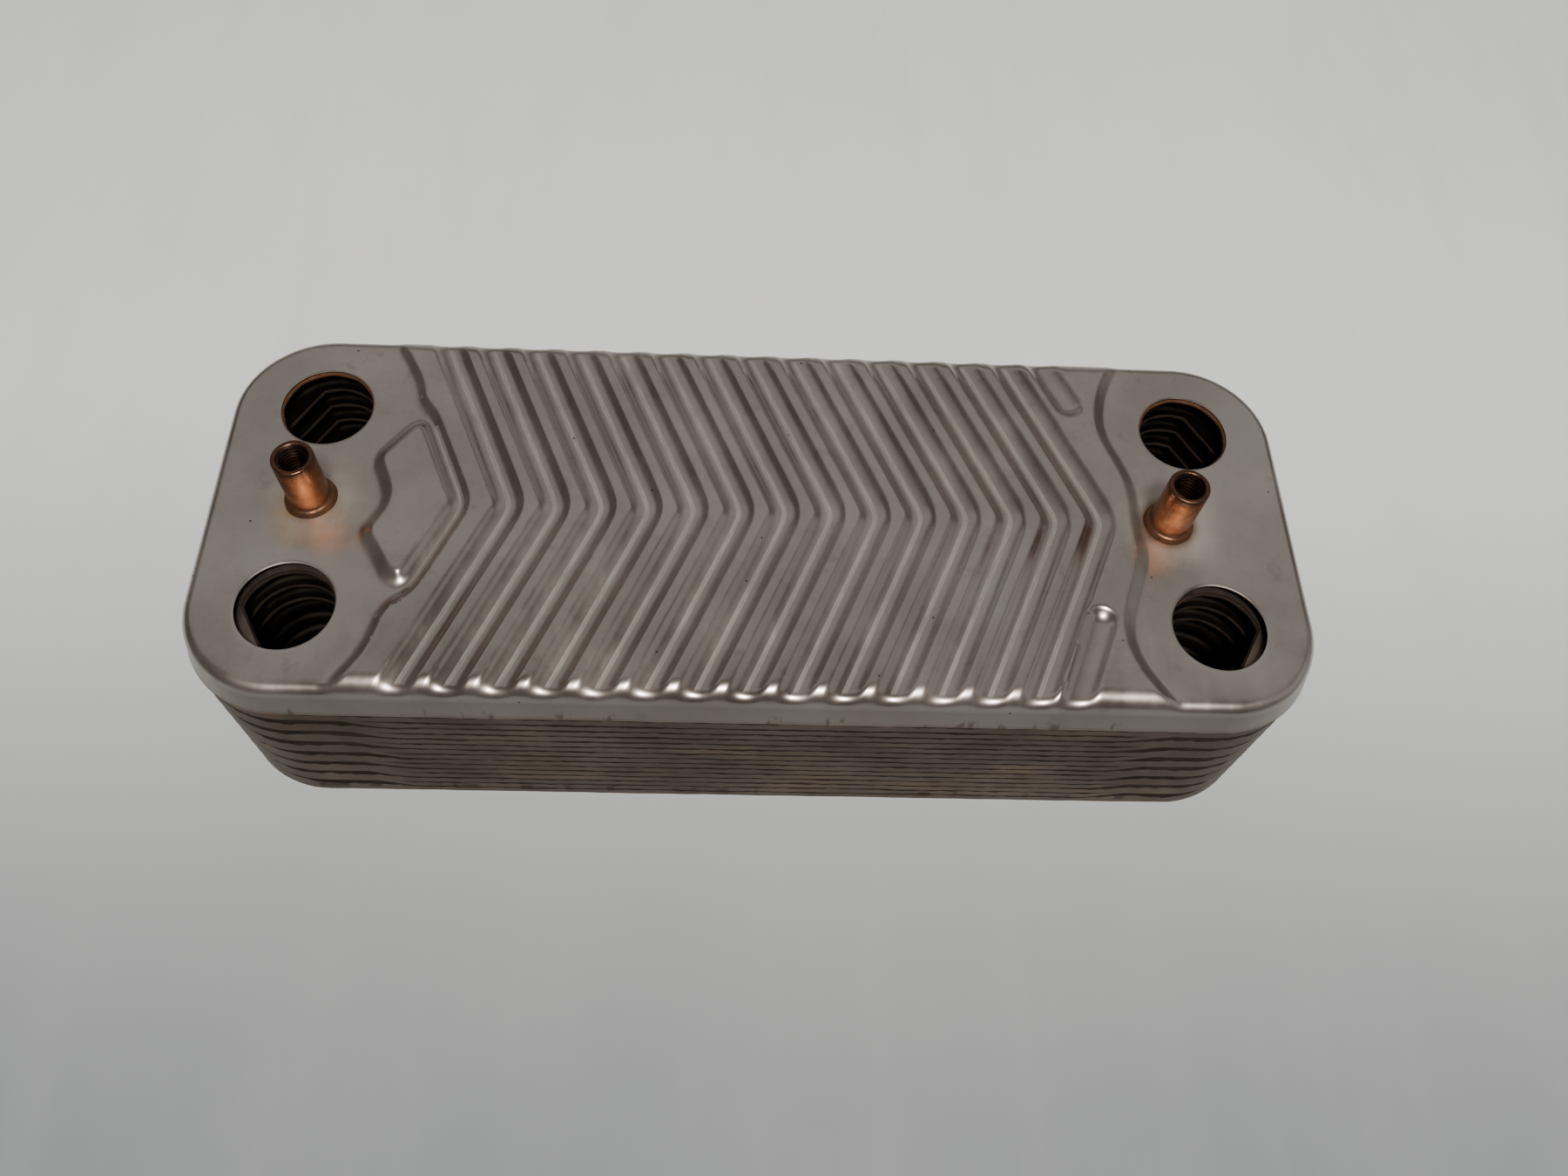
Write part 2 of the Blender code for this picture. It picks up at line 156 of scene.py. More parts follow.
def rounded_line(points, cut, closed=False):
    """The outline with each corner drawn as a curve that starts at most cut from it."""
    points = [np.array(p, float) for p in points]
    count = len(points)
    corners = range(count) if closed else range(1, count - 1)
    line = [] if closed else [points[0]]
    for i in corners:
        before = points[i - 1]
        at = points[i]
        after = points[(i + 1) % count]
        back = before - at
        on = after - at
        start = at + back * min(0.45, cut / np.linalg.norm(back))
        end = at + on * min(0.45, cut / np.linalg.norm(on))
        for t in np.linspace(0, 1, 7):
            line.append(start * (1 - t) ** 2 + at * 2 * t * (1 - t) + end * t * t)
    line.append(line[0] if closed else points[-1])
    return np.array(line)


def line_distance(points, line):
    """Distance from each point to a line of points."""
    nearest = np.full(len(points), np.inf)
    for start, end in zip(line[:-1], line[1:]):
        along = end - start
        share = np.clip((points - start) @ along / max(along @ along, 1e-12), 0, 1)
        gap = np.linalg.norm(points - start - share[:, None] * along, axis=1)
        nearest = np.minimum(nearest, gap)
    return nearest


def side_distance(points, line):
    """Distance to a line that runs along Y, positive on its +X side."""
    edge = np.interp(points[:, 1], line[:, 1], line[:, 0])
    return line_distance(points, line) * np.where(points[:, 0] > edge, 1.0, -1.0)


def inside(points, outline):
    crossings = np.zeros(len(points), int)
    for a, b in zip(outline[:-1], outline[1:]):
        spans = (a[1] > points[:, 1]) != (b[1] > points[:, 1])
        if a[1] != b[1]:
            x = a[0] + (b[0] - a[0]) * (points[:, 1] - a[1]) / (b[1] - a[1])
            crossings += spans & (x > points[:, 0])
    return crossings % 2 == 1


def closed_distance(points, outline):
    """Distance to a closed outline, positive inside it."""
    return line_distance(points, outline) * np.where(inside(points, outline), 1.0, -1.0)


def port_outline(side_x, side_y, cut, inset, segments):
    """A port's edge: a circle, with its corner side cut straight on the low lands."""
    radius = PORT_RADIUS - inset
    facing = math.atan2(side_y * math.sin(PORT_CHORD_ANGLE), side_x * math.cos(PORT_CHORD_ANGLE))
    if not cut:
        angles = facing + 2 * math.pi * np.arange(segments) / segments
    else:
        half = math.acos((PORT_CHORD - inset) / radius)
        steps = np.linspace(0, 2 * (math.pi - half), segments - 6)
        angles = facing + half + steps
    points = np.stack([np.cos(angles), np.sin(angles)], axis=1) * radius
    if cut:
        chord = np.linspace(points[-1], points[0], 8)[1:-1]
        points = np.concatenate([points, chord])
    return points + np.array([side_x * PORT_X, side_y * PORT_Y])


class Perimeter:
    """Stations round the plates' outline, anticlockwise, with base points and directions out.

    With lean, the directions along the long sides follow the chevrons, so that grooves carry on
    over the rim's bend.
    """

    def __init__(self, long_places, corner_steps, lean):
        x = HALF_LENGTH - CORNER_RADIUS
        y = HALF_WIDTH - CORNER_RADIUS
        bases = []
        directions = []
        sides = [
            ((1, 0), (x, -y), (x, y)),
            ((0, 1), (x, y), (-x, y)),
            ((-1, 0), (-x, y), (-x, -y)),
            ((0, -1), (-x, -y), (x, -y)),
        ]
        for quarter, (out, start, end) in enumerate(sides):
            start = np.array(start)
            end = np.array(end)
            if quarter % 2 == 0:
                shares = np.arange(16) / 16
            else:
                shares = (long_places - start[0]) / (end[0] - start[0])
                shares = np.sort(np.append(shares, 0.0))
            for share in shares:
                base = start + (end - start) * share + np.array(out) * CORNER_RADIUS
                leaning = np.array([-lean * smooth((76 - abs(base[0])) / 10), 0.0])
                bases.append(base)
                directions.append(out + leaning * abs(out[1]))
            for turn in np.arange(corner_steps) / corner_steps:
                angle = math.pi / 2 * (quarter + turn)
                direction = np.array([math.cos(angle), math.sin(angle)])
                bases.append(end + direction * CORNER_RADIUS)
                directions.append(direction)
        self.base = np.array(bases, float)
        self.out = np.array(directions, float)
        steps = np.linalg.norm(np.roll(self.base, -1, axis=0) - self.base, axis=1)
        self.length = steps.sum()
        self.place = np.concatenate([[0], np.cumsum(steps)[:-1]])

    def at(self, distance):
        return self.base + self.out * np.reshape(distance, (-1, 1))


def rim_places(shares, spacing):
    """Places along a long side: the given offsets from each groove's end, then an even spacing."""
    drop = CHEVRON_SLOPE * (math.hypot(HALF_WIDTH, APEX_ROUNDING) - APEX_ROUNDING)
    grooves = GROOVE_FIRST - drop + GROOVE_PITCH * np.arange(GROOVE_COUNT)
    places = (grooves[:, None] + np.array(shares)).ravel()
    limit = HALF_LENGTH - CORNER_RADIUS
    before = np.arange(places.min() - spacing, -limit + 0.4 * spacing, -spacing)
    after = np.arange(places.max() + spacing, limit - 0.4 * spacing, spacing)
    return np.concatenate([before, places, after])


def ring_noise(perimeter, waves, rng):
    """Smooth noise round the perimeter, about from -1 to 1, from waves of the given lengths."""
    turn = 2 * math.pi * perimeter.place / perimeter.length
    total = np.zeros(len(turn))
    for length in waves:
        cycles = max(1, round(perimeter.length / length))
        total += np.sin(cycles * turn + rng.uniform(0, 2 * math.pi)) * rng.uniform(0.5, 1)
    return total / len(waves) ** 0.5


# --- heights of the pressed sheets ---

LEFT_EDGE = rounded_line(FIELD_LEFT, 3.0)
RIGHT_EDGE = rounded_line(FIELD_RIGHT, 4.5)
PAD_EDGE = rounded_line(PAD, 1.8, closed=True)


def chevron_place(points):
    y = points[:, 1]
    return points[:, 0] + CHEVRON_SLOPE * (np.hypot(y, APEX_ROUNDING) - APEX_ROUNDING)


def chevron_cosine(points):
    """How much shorter the way across a chevron is than along X."""
    y = points[:, 1]
    slope = CHEVRON_SLOPE * y / np.hypot(y, APEX_ROUNDING)
    return 1 / np.sqrt(1 + slope**2)


def flank(edge):
    """Height at a distance from the edge of a low strip: a round trough, then a narrow crown."""
    reach = np.clip(edge, 0, TROUGH_REACH) + TROUGH_RADIUS * math.sin(STRIP_ANGLE)
    trough = TROUGH_RADIUS * math.cos(STRIP_ANGLE) - np.sqrt(TROUGH_RADIUS**2 - reach**2)
    left = np.clip(CREST_REACH - edge, 0, CREST_REACH - TROUGH_REACH)
    crown = PRESS_DEPTH - (CREST_RADIUS - np.sqrt(CREST_RADIUS**2 - left**2))
    return np.where(edge < TROUGH_REACH, trough, crown)


def ridge(edge):
    """A flank that falls a little to the plateau beyond its crest."""
    return flank(edge) - PLATEAU_FALL * smooth((edge - CREST_REACH - 0.2) / 1.8)


def sheet_waves(points):
    """The slight unevenness of a pressed sheet."""
    x, y = points.T
    waves = np.sin(x * 0.21 + 1.3) * np.sin(y * 0.27 + 0.4)
    waves += np.sin(x * 0.34 + y * 0.23 + 2.1) * 0.6
    waves += np.sin(y * 0.41 - x * 0.15 + 0.7) * 0.5
    return waves * 0.028


def cover_height(points):
    off = chevron_place(points) - GROOVE_FIRST
    nearest = np.clip(np.round(off / GROOVE_PITCH), 1, GROOVE_COUNT - 1)
    across = np.abs(off - nearest * GROOVE_PITCH) * chevron_cosine(points)
    field = ridge(across - GROOVE_HALF_FLAT)
    for start, end in SHORT_GROOVES:
        gap = line_distance(points, np.array([start, end], float))
        field = soft_min(field, ridge(gap - GROOVE_HALF_FLAT), 0.25)
    left = flank(side_distance(points, LEFT_EDGE) + HALF_RISE) / PRESS_DEPTH
    right = smooth(0.5 - side_distance(points, RIGHT_EDGE) / 2.9)
    pad = flank(closed_distance(points, PAD_EDGE) + HALF_RISE)
    return np.maximum(field * left * right, pad) + sheet_waves(points)


def channel_height(points, rim_blend=0.0):
    """Grooves over the middle, low port lands on the far side and high ones on the near side.

    With rim_blend the port lands rise more slowly along the plate, as its rim does.
    """
    left = side_distance(points, np.array(CHANNEL_LEFT))
    right = -side_distance(points, np.array(CHANNEL_RIGHT))
    width = CHANNEL_FLANK + rim_blend
    field = smooth(0.5 + left / width) * smooth(0.5 + right / width)
    off = (chevron_place(points) - GROOVE_FIRST) / GROOVE_PITCH
    across = np.abs(off - np.round(off)) * GROOVE_PITCH * chevron_cosine(points)
    wave = np.minimum(ridge(across - GROOVE_HALF_FLAT), PRESS_DEPTH)
    limit = HALF_WIDTH - CHANNEL_INSET
    edge = PRESS_DEPTH * smooth((limit - np.abs(points[:, 1])) / (limit - CHANNEL_FIELD_EDGE))
    port = PRESS_DEPTH * smooth(0.5 - points[:, 1] / 2.4)
    return field * soft_min(wave, edge, 0.3) + (1 - field) * port


# --- sheets ---


def hex_grid(spacing, half_x, half_y):
    rows = []
    row_step = spacing * math.sqrt(3) / 2
    for k, y in enumerate(np.arange(-half_y, half_y, row_step)):
        x = np.arange(-half_x, half_x, spacing) + (k % 2) * spacing / 2
        rows.append(np.stack([x, np.full(len(x), y)], axis=1))
    return np.concatenate(rows)


def within_outline(points, inset):
    """Whether points lie inside the plates' outline moved inwards."""
    x = np.clip(points[:, 0], CORNER_RADIUS - HALF_LENGTH, HALF_LENGTH - CORNER_RADIUS)
    y = np.clip(points[:, 1], CORNER_RADIUS - HALF_WIDTH, HALF_WIDTH - CORNER_RADIUS)
    return np.hypot(points[:, 0] - x, points[:, 1] - y) < CORNER_RADIUS - inset


def outside_ports(points, holes, margin):
    keep = np.ones(len(points), bool)
    for hole in holes:
        closed = np.concatenate([hole, hole[:1]])
        keep &= closed_distance(points, closed) < -margin
    return keep


def kept_parts(line, kept):
    """The stretches of a line where kept is true."""
    breaks = np.flatnonzero(np.diff(kept.astype(int))) + 1
    parts = zip(np.split(line, breaks), np.split(kept, breaks))
    return [part for part, good in parts if good[0] and len(part) > 1]


def chevron_lines(offsets, half_y, spacing, keep):
    """Lines along the chevrons at distances from each groove, split where keep says no."""
    y = np.arange(-half_y, half_y + 1e-6, spacing)
    cosine = chevron_cosine(np.stack([y, y], axis=1))
    lines = []
    for i in range(GROOVE_COUNT):
        for off in offsets:
            x = GROOVE_FIRST + GROOVE_PITCH * i + np.clip(off / cosine, -9, GROOVE_PITCH / 2)
            x = x - CHEVRON_SLOPE * (np.hypot(y, APEX_ROUNDING) - APEX_ROUNDING)
            line = np.stack([x, y], axis=1)
            lines += kept_parts(line, keep(line))
    return lines


def triangulated(ring, holes, lines, loose, inset):
    """Points and triangles of a flat sheet, with the ring's and the holes' point numbers."""
    points = []
    edges = []
    for k, line in enumerate([ring, *holes, *lines]):
        first = len(points)
        points.extend(line)
        edges.extend((i, i + 1) for i in range(first, len(points) - 1))
        if k <= len(holes):
            edges.append((len(points) - 1, first))
    points.extend(loose)
    flat, _, faces, sources, *_ = delaunay_2d_cdt(
        [tuple(p) for p in points], edges, [], 0, 1e-5, True
    )
    flat = np.array([tuple(v) for v in flat])
    faces = np.array([tuple(f) for f in faces if len(f) == 3])
    middle = flat[faces].mean(axis=1)
    faces = faces[within_outline(middle, inset - 0.02) & outside_ports(middle, holes, -0.001)]
    number = {}
    rim_count = len(ring) + sum(len(hole) for hole in holes)
    for new, olds in enumerate(sources):
        for old in olds:
            if old < rim_count:
                number[old] = new
    ring_numbers = [number[i] for i in range(len(ring))]
    hole_numbers = []
    first = len(ring)
    for hole in holes:
        hole_numbers.append([number[i] for i in range(first, first + len(hole))])
        first += len(hole)
    return flat, faces, ring_numbers, hole_numbers


def to_metres(points):
    return np.asarray(points, float) * 0.001


def mesh_from(name, points, faces):
    mesh = bpy.data.meshes.new(name)
    mesh.from_pydata([tuple(p) for p in to_metres(points)], [], [tuple(f) for f in faces])
    return mesh


def mesh_points(mesh):
    points = np.zeros(len(mesh.vertices) * 3, np.float32)
    mesh.vertices.foreach_get("co", points)
    return points.reshape(-1, 3)


def vertex_normals(points, faces):
    mesh = mesh_from("normals", points, faces)
    normals = np.zeros(len(points) * 3, np.float32)
    mesh.vertex_normals.foreach_get("vector", normals)
    bpy.data.meshes.remove(mesh)
    return normals.reshape(-1, 3)


def finished(name, mesh, material, node, sharp=50):
    """The mesh as a piece that takes its CAD node's place, with edges kept from an angle up."""
    mesh.shade_smooth()
    mesh.set_sharp_from_angle(angle=math.radians(sharp))
    mesh.materials.append(material)
    obj = bpy.data.objects.new(name, mesh)
    bpy.context.scene.collection.objects.link(obj)
    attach(obj, "root")
    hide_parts(node)


def sheet_solid(name, outer, faces, holes, foot, sheet):
    """A closed solid sheet from its outer skin, whose loops are the holes and the foot."""
    used = np.unique(np.concatenate([np.ravel(f) for f in faces]))
    number = np.full(len(outer), -1)
    number[used] = np.arange(len(used))
    outer = outer[used]
    faces = [tuple(number[i] for i in face) for face in faces]
    normals = vertex_normals(outer, faces)
    inner = outer - normals * sheet
    count = len(outer)
    solid = list(faces)
    solid += [tuple(i + count for i in reversed(face)) for face in faces]
    for hole in holes:
        for a, b in zip(hole, hole[1:] + hole[:1]):
            a, b = number[a], number[b]
            solid.append((a, b, b + count, a + count))
    for a, b in zip(foot, foot[1:] + foot[:1]):
        a, b = number[a], number[b]
        solid.append((b, a, a + count, b + count))
    return mesh_from(name, np.concatenate([outer, inner]), solid)


def placed(points, turned, level):
    """Plate points turned by half a turn where asked, and raised to their level."""
    sign = -1 if turned else 1
    return points * np.array([sign, sign, 1]) + np.array([0, 0, level])


def plate(name, perimeter, holes, lines, loose, height, rim_height, shape, rng):
    """One pressed plate with its turned-down rim, from its own low level."""
    inset, bend, crest_bend, overhang, sheet, level_rim, uneven = shape
    ring = perimeter.at(-inset)
    flat, faces, ring_numbers, hole_numbers = triangulated(ring, holes, lines, loose, inset)
    outer = [np.column_stack([flat, height(flat)])]
    count = len(flat)
    faces = [tuple(face) for face in faces]
    rows = [ring_numbers]

    def add_row(distance, z):
        nonlocal count
        places = perimeter.at(distance)
        outer.append(np.column_stack([places, z]))
        row = list(range(count, count + len(places)))
        count += len(places)
        rows.append(row)

    def bend_start(level):
        radius = bend + crest_bend * level
        tangent = level - radius * (1 - math.cos(RIM_ANGLE))
        edge = overhang - RIM_SLOPE * tangent
        return radius, edge - radius * math.sin(RIM_ANGLE)

    uneven_foot = uneven * ring_noise(perimeter, (47, 23, 11, 5.3), rng)
    uneven_side = 0.6 * uneven * ring_noise(perimeter, (61, 29, 13), rng)
    for share in (0.35, 0.7):
        level = rim_height(perimeter.at(-inset * 0.5))
        _, start = bend_start(level)
        distance = -inset + (start + inset) * share
        add_row(distance, rim_height(perimeter.at(distance)))
    steps = 9
    for k in range(steps + 1):
        angle = RIM_ANGLE * k / steps
        distance = np.full(len(perimeter.base), -inset * 0.5)
        for _ in range(4):
            level = rim_height(perimeter.at(distance))
            radius, start = bend_start(level)
            distance = start + radius * math.sin(angle)
        z = level - radius * (1 - math.cos(angle))
        add_row(distance + uneven_side * (k / steps) ** 2, z)
    bottom = -RIM_DROP + (0 if level_rim else level) + np.maximum(uneven_foot, -0.6 * uneven)
    for share in (0.25, 0.5, 0.75, 1.0):
        depth = z + (bottom - z) * share
        add_row(overhang - RIM_SLOPE * depth + uneven_side, depth)
    for upper, lower in zip(rows, rows[1:]):
        for k in range(len(upper)):
            j = (k + 1) % len(upper)
            faces.append((upper[k], lower[k], lower[j], upper[j]))
    points = np.concatenate(outer)
    return sheet_solid(name, points, faces, hole_numbers, rows[-1], sheet)


def shifted_to(mesh, turned, level):
    """Moves a mesh from a plate's own level into the frame, and keeps it above the floor."""
    points = placed(mesh_points(mesh) * 1000, turned, level) * 0.001
    points[:, 2] = np.maximum(points[:, 2], 0)
    mesh.vertices.foreach_set("co", points.astype(np.float32).ravel())
    mesh.update()


def low_level(number):
    """Height of a plate's low level; plate 0 is the front cover."""
    if number == 0:
        return PORT_PLANE
    return PORT_PLANE - (COVER_SHEET - SHEET) - PLATE_PITCH * number


def near_lines(points, lines, reach):
    close = np.zeros(len(points), bool)
    for line in lines:
        close |= line_distance(points, line) < reach
    return close


def short_groove_lines(groove, other, keep):
    """Lines round a short groove, where it is nearer than any chevron."""
    start, end = (np.array(p) for p in groove)
    along = (end - start) / np.linalg.norm(end - start)
    across = np.array([along[1], -along[0]])
    length = np.linalg.norm(end - start)
    lines = []
    for off in (0.0, GROOVE_HALF_FLAT, 0.85, 1.35, 1.85, 2.3, 2.7, 3.0, 3.3, 3.6, 4.0):
        runs = np.arange(0, length, 0.9)
        line = [start + along * run + across * off for run in runs]
        if off > 0:
            for angle in np.radians(np.arange(0, 181, 12 if off > 1 else 30)):
                line.append(end + off * (math.cos(angle) * across + math.sin(angle) * along))
            line += [start + along * run - across * off for run in runs[::-1]]
        line = np.array(line)
        kept = keep(line) & (line_distance(line, np.array([start, end])) < other(line) - 0.15)
        lines += kept_parts(line, kept)
    return lines


def last_groove_distance(points):
    """Distance across to the last chevron groove, on its plateau side."""
    last = GROOVE_FIRST + GROOVE_PITCH * (GROOVE_COUNT - 1)
    return np.abs(chevron_place(points) - last) * chevron_cosine(points)


def add_cover(material):
    half = 0.5 * GROOVE_PITCH
    stations = [-3.45, -2.95, -2.4, -1.8, -1.15, -0.46, 0.0, 0.46, 1.15, 1.8, 2.4, 2.95, 3.45, half]
    perimeter = Perimeter(rim_places(stations, 0.55), 28, CHEVRON_SLOPE)
    holes = [port_outline(*corner, False, 0.0, 96) for corner in CORNERS]
    inset = COVER_INSET

    def keep(line):
        base = np.minimum(side_distance(line, LEFT_EDGE), -side_distance(line, RIGHT_EDGE))
        clear = base > -1.0
        clear &= closed_distance(line, PAD_EDGE) < 0.9
        for start, end in SHORT_GROOVES:
            gap = line_distance(line, np.array([start, end], float))
            clear &= (gap > 4.2) | (last_groove_distance(line) < gap - 0.15)
        return clear & within_outline(line, inset + 0.3)

    def keep_short(line):
        return within_outline(line, inset + 0.3)

    shares = [0.0, GROOVE_HALF_FLAT, 0.85, 1.35, 1.8, 2.2, 2.55, 2.85, 3.1, 3.35]
    offsets = sorted([-s for s in shares[1:]] + shares + [half])
    lines = chevron_lines(offsets, 31.6, 1.05, keep)
    for groove in SHORT_GROOVES:
        lines += short_groove_lines(groove, last_groove_distance, keep_short)
    fine = hex_grid(0.42, HALF_LENGTH, HALF_WIDTH)
    fine = fine[within_outline(fine, inset + 0.3)]
    steps = [LEFT_EDGE, RIGHT_EDGE, PAD_EDGE]
    shorts = [np.array(pair, float) for pair in SHORT_GROOVES]
    fine = fine[near_lines(fine, steps, 2.1) & ~near_lines(fine, shorts, 4.2)]
    coarse = hex_grid(1.3, HALF_LENGTH, HALF_WIDTH)
    coarse = coarse[within_outline(coarse, inset + 0.6)]
    coarse = coarse[~near_lines(coarse, steps, 2.3) & ~near_lines(coarse, shorts, 4.6)]
    coarse = coarse[outside_ports(coarse, holes, 1.6)]
    collars = []
    for corner in CORNERS:
        for grow in (0.12, 0.3, 0.6, 1.1):
            collars.append(port_outline(*corner, False, -grow, 96))
    in_field = (side_distance(coarse, LEFT_EDGE) > 0) & (side_distance(coarse, RIGHT_EDGE) < 0)
    off = (chevron_place(coarse) - GROOVE_FIRST) / GROOVE_PITCH
    between = (off > 0.4) & (off < GROOVE_COUNT - 0.5)
    coarse = coarse[~(in_field & between)]
    loose = np.concatenate([fine, coarse, *collars])

    def height(points):
        z = cover_height(points)
        # The hole punch has rolled the ports' edges down a little.
        for sx, sy in CORNERS:
            gap = np.hypot(points[:, 0] - sx * PORT_X, points[:, 1] - sy * PORT_Y)
            rolled = np.clip((PORT_RADIUS + 0.45 - gap) / 0.45, 0, 1)
            z = z - 0.1 * rolled**2
        return z

    shape = (inset, COVER_BEND, CREST_BEND, COVER_OVERHANG, COVER_SHEET, True, 0.05)
    rng = np.random.default_rng(COVER_SEED)
    mesh = plate("front_cover", perimeter, holes, lines, loose, height, height, shape, rng)
    shifted_to(mesh, False, PORT_PLANE)
    finished("front_cover", mesh, material, "front_cover_plate")


def add_channel_plates(material):
    perimeter = Perimeter(np.arange(-76.0, 76.5, 1.6), 18, 0.0)
    holes = []
    for sx in (-1, 1):
        holes.append(port_outline(sx, -1, False, 0.0, 48))
        holes.append(port_outline(sx, 1, True, 0.0, 48))
    inset = CHANNEL_INSET

    def keep(line):
        return within_outline(line, inset + 0.6)

    def rim_height(points):
        return channel_height(points, RIM_BLEND)

    half = GROOVE_PITCH / 2
    coarse_lines = chevron_lines([-2.2, 0.0, 2.2, half], 33, 3.3, keep)
    fine_offsets = [-3.1, -2.5, -1.7, -0.9, 0.0, 0.9, 1.7, 2.5, 3.1, half]
    fine_lines = chevron_lines(fine_offsets, 33, 1.65, keep)
    grid = hex_grid(3.0, HALF_LENGTH, HALF_WIDTH)
    grid = grid[within_outline(grid, inset + 1.0)]
    grid = grid[np.abs(grid[:, 0]) > LAND_START]
    lands = grid[outside_ports(grid, holes, 1.0)]
    for number in range(1, PLATE_COUNT):
        blank = number == PLATE_COUNT - 1
        rng = np.random.default_rng(CHANNEL_SEED + number)
        shape = (inset, CHANNEL_BEND, 0.0, 0.0, SHEET, False, 0.075)
        name = "end_plate" if blank else f"channel_sheet_{number:02d}"
        cuts, lines, loose = ([], fine_lines, grid) if blank else (holes, coarse_lines, lands)
        mesh = plate(name, perimeter, cuts, lines, loose, channel_height, rim_height, shape, rng)
        shifted_to(mesh, number % 2 == 1, low_level(number))
        node = "back_end_plate" if blank else f"channel_plate_{number:02d}"
        finished(name, mesh, material, node)


# --- brazing ---


def swept_ring(name, sections):
    """A closed bead through cross-sections that each list the same number of points."""
    sections = np.asarray(sections)
    count, size = sections.shape[:2]
    faces = []
    for i in range(count):
        j = (i + 1) % count
        for k in range(size):
            m = (k + 1) % size
            faces.append((i * size + k, i * size + m, j * size + m, j * size + k))
    mesh = mesh_from(name, sections.reshape(-1, 3), faces)
    face_out(mesh)
    return mesh


def add_edge_beads(material):
    perimeter = Perimeter(np.arange(-76.0, 76.5, 1.0), 26, 0.0)
    for joint in range(PLATE_COUNT - 1):
        rng = np.random.default_rng(BEAD_SEED + joint)
        sign = -1 if joint % 2 == 1 else 1
        upper = low_level(joint)
        lower = low_level(joint + 1)
        rise = np.zeros(len(perimeter.base))
        overhang = COVER_OVERHANG
        if joint > 0:
            overhang = 0.0
            rise = channel_height(perimeter.at(-CHANNEL_INSET * 0.5) * sign, RIM_BLEND)
        below = channel_height(perimeter.at(-CHANNEL_INSET * 0.5) * -sign, RIM_BLEND)
        top = upper + rise - RIM_DROP
        room = top - (lower + below - RIM_DROP)
        waves = ring_noise(perimeter, (31, 17, 9, 4.1, 2.9), rng)
        tall = np.clip(room * (0.52 + 0.07 * waves), 0.3, room - 0.1)
        front = overhang + RIM_SLOPE * (upper - top)
        sections = []
        for i in range(len(perimeter.base)):
            back = RIM_SLOPE * (lower - top[i])
            profile = [(back - 0.12, top[i] + 0.5), (front[i] - 0.28, top[i] + 0.12)]
            profile.append((front[i] - 0.01, top[i] - 0.01))
            for share in (0.2, 0.45, 0.72, 1.0):
                z = top[i] - tall[i] * share
                surface = RIM_SLOPE * (lower - z)
                width = (front[i] - 0.02 - back) * (1 - share)
                profile.append((surface + width + 0.01, z))
            foot = top[i] - tall[i]
            profile.append((RIM_SLOPE * (lower - foot) - 0.12, foot))
            base = perimeter.base[i]
            out = perimeter.out[i]
            sections.append([(*(base + out * s), z) for s, z in profile])
        name = f"rim_braze_{joint + 1:02d}"
        mesh = swept_ring(name, sections)
        finished(name, mesh, material, f"edge_braze_{joint + 1:02d}", sharp=60)


def face_out(mesh):
    """Turns a closed mesh's faces out, by the sign of its volume."""
    mesh.calc_loop_triangles()
    corners = np.zeros(len(mesh.loop_triangles) * 3, np.int32)
    mesh.loop_triangles.foreach_get("vertices", corners)
    triangles = mesh_points(mesh)[corners.reshape(-1, 3)].astype(float)
    if np.linalg.det(triangles).sum() < 0:
        mesh.flip_normals()


def add_port_rings(material):
    sides = {"left": -1, "right": 1}
    rows = (("far", 1, FAR_RING_JOINTS), ("near", -1, NEAR_RING_JOINTS))
    for side, side_x in sides.items():
        for row, side_y, joints in rows:
            for joint in joints:
                name = f"port_braze_{row}_{side}_{joint + 1:02d}"
                rng = np.random.default_rng(RING_SEED + joint * 4 + side_x + 2 * side_y)
                wall = port_outline(side_x, side_y, joint > 0, -0.05, 64)
                free = port_outline(side_x, side_y, joint > 0, 0.42, 64)
                level = low_level(joint) - (COVER_SHEET if joint == 0 else SHEET)
                sections = []
                for k, (a, b) in enumerate(zip(wall, free)):
                    bump = 0.12 * math.sin(k * 0.9 + joint) + rng.uniform(-0.06, 0.06)
                    section = [(*a, level + 0.12)]
                    for inward, drop in ((0.55, 0.02), (0.85, 0.25), (0.6, 0.6)):
                        section.append((*(a + (b - a) * (inward + bump)), level - drop))
                    section.append((*a, level - 0.8))
                    sections.append(section)
                mesh = swept_ring(f"fillet_{name}", sections)
                finished(f"fillet_{name}", mesh, material, name)


# --- sleeves ---


def turned_ring(name, profile, segments, place, rng, uneven):
    """A ring turned from a profile of (radius, height) points, slightly out of round."""
    sections = []
    phase = rng.uniform(0, 2 * math.pi)
    for k in range(segments):
        angle = 2 * math.pi * k / segments
        wobble = uneven * (math.sin(3 * angle + phase) + 0.6 * math.sin(7 * angle - phase))
        section = []
        for r, z in profile:
            radius = r + wobble
            x = place[0] + radius * math.cos(angle)
            y = place[1] + radius * math.sin(angle)
            section.append((x, y, z))
        sections.append(section)
    return swept_ring(name, sections)


